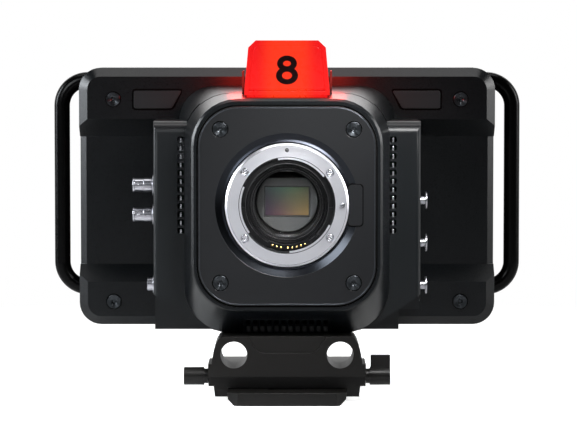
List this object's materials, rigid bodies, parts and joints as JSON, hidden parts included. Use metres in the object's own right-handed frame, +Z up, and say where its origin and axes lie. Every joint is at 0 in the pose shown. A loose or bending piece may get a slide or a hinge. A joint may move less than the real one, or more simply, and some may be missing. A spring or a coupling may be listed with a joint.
{
  "type": "studio camera",
  "caption": "Broadcast studio camera body with a bayonet lens mount, rear monitor housing, side bar handles, red tally light and a rod bracket on a dovetail tripod plate.",
  "frame": {"origin": "mouth of the small tripod socket, on the underside of the dovetail plate", "axes": "+Z up, the lens looks along -Y, +X to the right as seen from in front of the lens"},
  "size_m": [0.2768, 0.132, 0.2047],
  "materials": {
    "body_casting": "satin powder coat",
    "front_plate": "satin anodised",
    "mount_ring": "satin turned",
    "throat_black": "matt",
    "contacts": "polished",
    "filter_glass": "polished",
    "sensor": "iridescent",
    "sensor_ceramic": "matt",
    "circuit_board": "satin",
    "sink_metal": "bead blasted",
    "steel": "brushed",
    "fan_plastic": "matt",
    "connector_metal": "nickel plated",
    "socket_black": "matt",
    "display": "gloss",
    "screen_glass": "gloss",
    "handle_tube": "gloss powder coat",
    "tally_red": "translucent",
    "tally_number": "matt",
    "control_rubber": "matt",
    "record_red": "satin",
    "bracket_metal": "satin anodised"
  },
  "bodies": {
    "camera": {"nose_shell": "body_casting", "front_plate": "front_plate", "front_plate_screws": "front_plate", "lens_mount_ring": "mount_ring", "mount_ring_screws": "mount_ring", "mount_throat": "throat_black", "contact_block": "throat_black", "contact_pins": "contacts", "nd_guide_rods": "steel", "nd_motors": "steel", "sensor_filter": "filter_glass", "sensor_chip": "sensor", "sensor_package": "sensor_ceramic", "sensor_board": "circuit_board", "sensor_frame": "throat_black", "heat_sink": "sink_metal", "fan_frame": "fan_plastic", "main_board": "circuit_board", "module_shell": "body_casting", "side_vent_fins": "steel", "bottom_grille": "body_casting", "sdi_connectors": "connector_metal", "sdi_centre_pins": "contacts", "dc_socket": "connector_metal", "ethernet_jack": "connector_metal", "xlr_sockets": "socket_black", "rear_housing": "body_casting", "rear_cover": "body_casting", "lcd_panel": "display", "screen_glass": "screen_glass", "housing_screws": "body_casting", "mic_cover_left": "front_plate", "mic_cover_right": "front_plate", "mic_capsules": "steel", "handle_left": "handle_tube", "handle_right": "handle_tube", "tally_base": "socket_black", "tally_lens": "tally_red", "tally_number": "tally_number", "tally_led_board": "circuit_board", "rod_bracket": "bracket_metal"},
    "lens_release": {"lens_release_button": "front_plate"},
    "lock_pin": {"lens_lock_pin": "mount_ring"},
    "filter_a": {"nd_carriage_a": "throat_black", "nd_filter_a": "filter_glass"},
    "filter_b": {"nd_carriage_b": "throat_black", "nd_filter_b": "filter_glass"},
    "fan": {"fan_rotor": "fan_plastic"},
    "audio_tab_top": {"xlr_release_top": "connector_metal"},
    "audio_tab_middle": {"xlr_release_middle": "connector_metal"},
    "audio_tab_bottom": {"xlr_release_bottom": "connector_metal"},
    "brightness": {"brightness_knob": "control_rubber"},
    "contrast": {"contrast_knob": "control_rubber"},
    "focus": {"focus_knob": "control_rubber"},
    "menu": {"menu_button": "control_rubber"},
    "function": {"function_button": "control_rubber"},
    "record": {"record_button": "record_red"},
    "rod_clamp": {"rod_clamp_knob": "bracket_metal"},
    "plate_clamp": {"plate_clamp_knob": "bracket_metal"},
    "tripod_plate": {"dovetail_plate": "bracket_metal"}
  },
  "joints": [
    {"name": "lens_release_press", "type": "slide", "parent": "camera", "child": "lens_release", "axis": [0, 1, 0], "range_m": [0, 0.002], "stiffness_N_per_m": 1500, "springref_m": -0.001},
    {"name": "lock_pin_retract", "type": "slide", "parent": "camera", "child": "lock_pin", "axis": [0, 1, 0], "range_m": [0, 0.002]},
    {"name": "filter_a_shift", "type": "slide", "parent": "camera", "child": "filter_a", "axis": [-1, 0, 0], "range_m": [0, 0.036]},
    {"name": "filter_b_shift", "type": "slide", "parent": "camera", "child": "filter_b", "axis": [1, 0, 0], "range_m": [0, 0.036]},
    {"name": "fan_spin", "type": "hinge", "parent": "camera", "child": "fan", "pos_m": [0, 0.02, 0.1125], "axis": [0, 1, 0], "continuous": true},
    {"name": "audio_tab_top_press", "type": "slide", "parent": "camera", "child": "audio_tab_top", "axis": [-1, 0, 0], "range_m": [0, 0.0015], "stiffness_N_per_m": 600, "springref_m": -0.001},
    {"name": "audio_tab_middle_press", "type": "slide", "parent": "camera", "child": "audio_tab_middle", "axis": [-1, 0, 0], "range_m": [0, 0.0015], "stiffness_N_per_m": 600, "springref_m": -0.001},
    {"name": "audio_tab_bottom_press", "type": "slide", "parent": "camera", "child": "audio_tab_bottom", "axis": [-1, 0, 0], "range_m": [0, 0.0015], "stiffness_N_per_m": 600, "springref_m": -0.001},
    {"name": "brightness_turn", "type": "hinge", "parent": "camera", "child": "brightness", "pos_m": [-0.091, 0.068, 0.1645], "axis": [0, 1, 0], "range_deg": [-140, 140]},
    {"name": "contrast_turn", "type": "hinge", "parent": "camera", "child": "contrast", "pos_m": [-0.091, 0.068, 0.1335], "axis": [0, 1, 0], "range_deg": [-140, 140]},
    {"name": "focus_turn", "type": "hinge", "parent": "camera", "child": "focus", "pos_m": [-0.091, 0.068, 0.1025], "axis": [0, 1, 0], "range_deg": [-140, 140]},
    {"name": "menu_press", "type": "slide", "parent": "camera", "child": "menu", "axis": [0, -1, 0], "range_m": [0, 0.0008], "stiffness_N_per_m": 800, "springref_m": -0.0008},
    {"name": "function_press", "type": "slide", "parent": "camera", "child": "function", "axis": [0, -1, 0], "range_m": [0, 0.0008], "stiffness_N_per_m": 800, "springref_m": -0.0008},
    {"name": "record_press", "type": "slide", "parent": "camera", "child": "record", "axis": [0, -1, 0], "range_m": [0, 0.0008], "stiffness_N_per_m": 800, "springref_m": -0.0008},
    {"name": "rod_clamp_turn", "type": "hinge", "parent": "camera", "child": "rod_clamp", "pos_m": [-0.045, -0.026, 0.0139], "axis": [1, 0, 0], "range_deg": [-90, 90]},
    {"name": "plate_clamp_turn", "type": "hinge", "parent": "camera", "child": "plate_clamp", "pos_m": [0.045, -0.026, 0.0139], "axis": [1, 0, 0], "range_deg": [-90, 90]},
    {"name": "tripod_plate_slide", "type": "slide", "parent": "camera", "child": "tripod_plate", "axis": [0, 1, 0], "range_m": [-0.012, 0.012]}
  ],
  "couplings": [
    {"joint": "lock_pin_retract", "follows": "lens_release_press", "ratio": 1}
  ]
}
